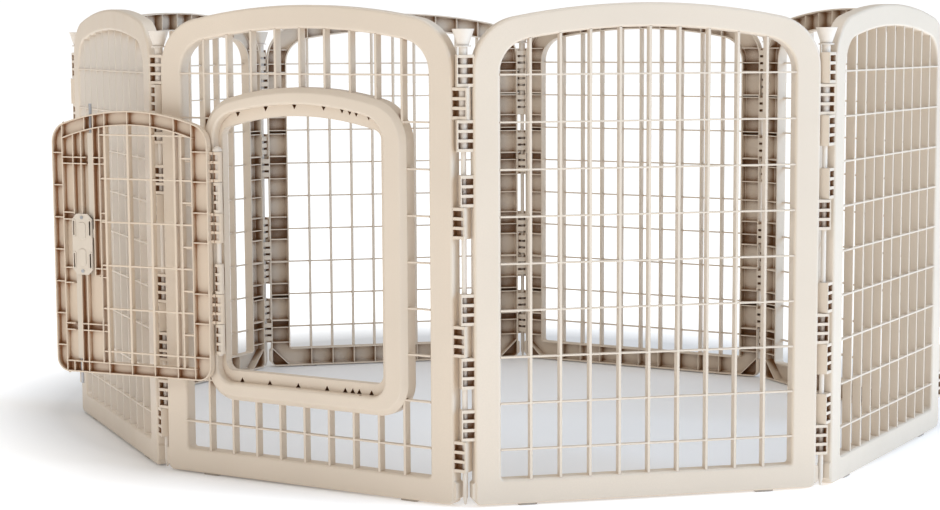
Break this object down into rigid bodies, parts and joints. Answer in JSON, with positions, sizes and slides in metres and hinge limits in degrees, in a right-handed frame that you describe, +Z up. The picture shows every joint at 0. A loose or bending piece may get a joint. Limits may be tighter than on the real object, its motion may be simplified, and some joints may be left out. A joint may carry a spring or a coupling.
{
  "type": "pet playpen",
  "caption": "Free-standing ring of barred plastic panels on hinge rods, with a latched swing door in a raised surround.",
  "frame": {"origin": "on the floor, under the centre of the whole object's box with the door open", "axes": "+Z up, +X along the longer side of the ring, -Y towards the corner between the door panel and the panel to its right"},
  "size_m": [1.8554, 1.6672, 0.8694],
  "materials": {
    "panel_plastic": "satin",
    "rod_plastic": "satin",
    "door_plastic": "satin",
    "door_rod_plastic": "satin",
    "latch_plastic": "satin",
    "foot_rubber": "matte",
    "screw_steel": "satin",
    "bolt_pin_metal": "satin"
  },
  "bodies": {
    "door_panel": {"door_panel": "panel_plastic", "hinge_rod_8": "rod_plastic", "feet_8": "foot_rubber", "door_hinge_rod": "door_rod_plastic"},
    "panel_1": {"panel_1": "panel_plastic", "hinge_rod_1": "rod_plastic", "feet_1": "foot_rubber"},
    "panel_2": {"panel_2": "panel_plastic", "hinge_rod_2": "rod_plastic", "feet_2": "foot_rubber"},
    "panel_3": {"panel_3": "panel_plastic", "hinge_rod_3": "rod_plastic", "feet_3": "foot_rubber"},
    "panel_4": {"panel_4": "panel_plastic", "hinge_rod_4": "rod_plastic", "feet_4": "foot_rubber"},
    "panel_5": {"panel_5": "panel_plastic", "hinge_rod_5": "rod_plastic", "feet_5": "foot_rubber"},
    "panel_6": {"panel_6": "panel_plastic", "hinge_rod_6": "rod_plastic", "feet_6": "foot_rubber"},
    "panel_7": {"panel_7": "panel_plastic", "hinge_rod_7": "rod_plastic", "feet_7": "foot_rubber"},
    "door": {"door_leaf": "door_plastic", "latch_escutcheon": "latch_plastic", "latch_cover": "latch_plastic", "latch_cover_screws": "screw_steel"},
    "upper_bolt": {"latch_knob_upper": "latch_plastic", "bolt_bar_upper": "latch_plastic", "bolt_pin_upper": "bolt_pin_metal"},
    "lower_bolt": {"latch_knob_lower": "latch_plastic", "bolt_bar_lower": "latch_plastic", "bolt_pin_lower": "bolt_pin_metal"}
  },
  "joints": [
    {"name": "fold", "type": "hinge", "parent": "door_panel", "child": "panel_1", "pos_m": [0.07603, -0.81429, 0.43], "axis": [0, 0, 1], "range_deg": [-42, 35]},
    {"name": "fold_2", "type": "hinge", "parent": "panel_1", "child": "panel_2", "pos_m": [0.68117, -0.56363, 0.43], "axis": [0, 0, 1], "range_deg": [-35, 42]},
    {"name": "fold_3", "type": "hinge", "parent": "panel_2", "child": "panel_3", "pos_m": [0.90841, 0.05068, 0.43], "axis": [0, 0, 1], "range_deg": [-42, 35]},
    {"name": "fold_4", "type": "hinge", "parent": "panel_3", "child": "panel_4", "pos_m": [0.54025, 0.59242, 0.43], "axis": [0, 0, 1], "range_deg": [-35, 42]},
    {"name": "fold_8", "type": "hinge", "parent": "door_panel", "child": "panel_7", "pos_m": [-0.54025, -0.59242, 0.43], "axis": [0, 0, 1], "range_deg": [-42, 35]},
    {"name": "fold_7", "type": "hinge", "parent": "panel_7", "child": "panel_6", "pos_m": [-0.90841, -0.05068, 0.43], "axis": [0, 0, 1], "range_deg": [-35, 42]},
    {"name": "fold_6", "type": "hinge", "parent": "panel_6", "child": "panel_5", "pos_m": [-0.68117, 0.56363, 0.43], "axis": [0, 0, 1], "range_deg": [-42, 35]},
    {"name": "door_swing", "type": "hinge", "parent": "door_panel", "child": "door", "pos_m": [-0.40668, -0.66867, 0.43], "axis": [0, 0, 1], "range_deg": [-4, 174]},
    {"name": "upper_bolt_slide", "type": "slide", "parent": "door", "child": "upper_bolt", "axis": [0, 0, 1], "range_m": [-0.024, 0]},
    {"name": "lower_bolt_slide", "type": "slide", "parent": "door", "child": "lower_bolt", "axis": [0, 0, 1], "range_m": [0, 0.024]}
  ],
  "couplings": [
    {"joint": "fold_2", "follows": "fold", "ratio": -1},
    {"joint": "fold_3", "follows": "fold", "ratio": 1},
    {"joint": "fold_4", "follows": "fold", "ratio": -1},
    {"joint": "fold_8", "follows": "fold", "ratio": 1},
    {"joint": "fold_7", "follows": "fold", "ratio": -1},
    {"joint": "fold_6", "follows": "fold", "ratio": 1}
  ]
}
